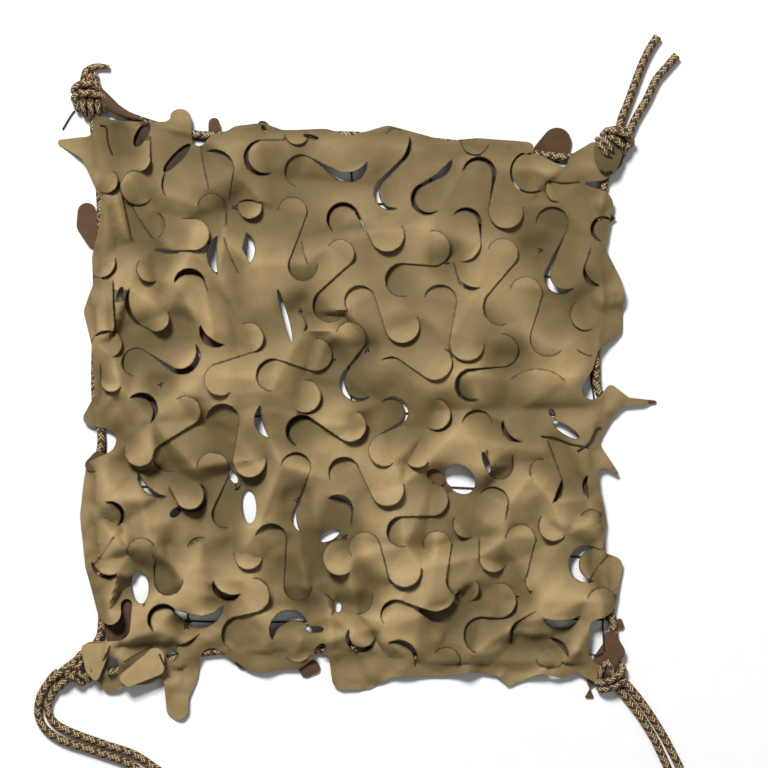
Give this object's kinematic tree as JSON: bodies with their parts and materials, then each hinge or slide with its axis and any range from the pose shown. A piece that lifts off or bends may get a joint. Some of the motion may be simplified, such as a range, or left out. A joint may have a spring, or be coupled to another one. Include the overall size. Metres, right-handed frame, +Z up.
{
  "type": "camouflage netting",
  "caption": "Square piece of incised camouflage cloth lashed to a knotted twine net inside a braided edge rope, with free rope ends at its corners for tying it down.",
  "frame": {"origin": "centre of the box round the laid net without its free ties, on the surface it lies on", "axes": "+Z up from the surface through the cloth, +Y towards the edge whose corners have the short upper ties, +X to the right seen from above"},
  "size_m": [0.6545, 0.7514, 0.0219],
  "materials": {
    "garnish_cloth": "matt sand coating on thin woven polyester, brown on the reverse",
    "edge_rope": "braided synthetic cord, tan with dark flecks",
    "net_twine": "knotted dark brown twine"
  },
  "bodies": {
    "root": {"garnish_cloth": "garnish_cloth", "support_net": "net_twine", "edge_rope_top": "edge_rope", "edge_rope_right": "edge_rope", "edge_rope_bottom": "edge_rope", "edge_rope_left": "edge_rope", "corner_knot_top_left": "edge_rope", "corner_knot_top_right": "edge_rope", "corner_knot_bottom_left": "edge_rope", "corner_knot_bottom_right": "edge_rope", "tie_top_left": "edge_rope", "tie_top_right_a": "edge_rope", "tie_top_right_b": "edge_rope", "tie_bottom_left_a": "edge_rope", "tie_bottom_left_b": "edge_rope", "tie_bottom_right_a": "edge_rope", "tie_bottom_right_b": "edge_rope"}
  },
  "joints": []
}
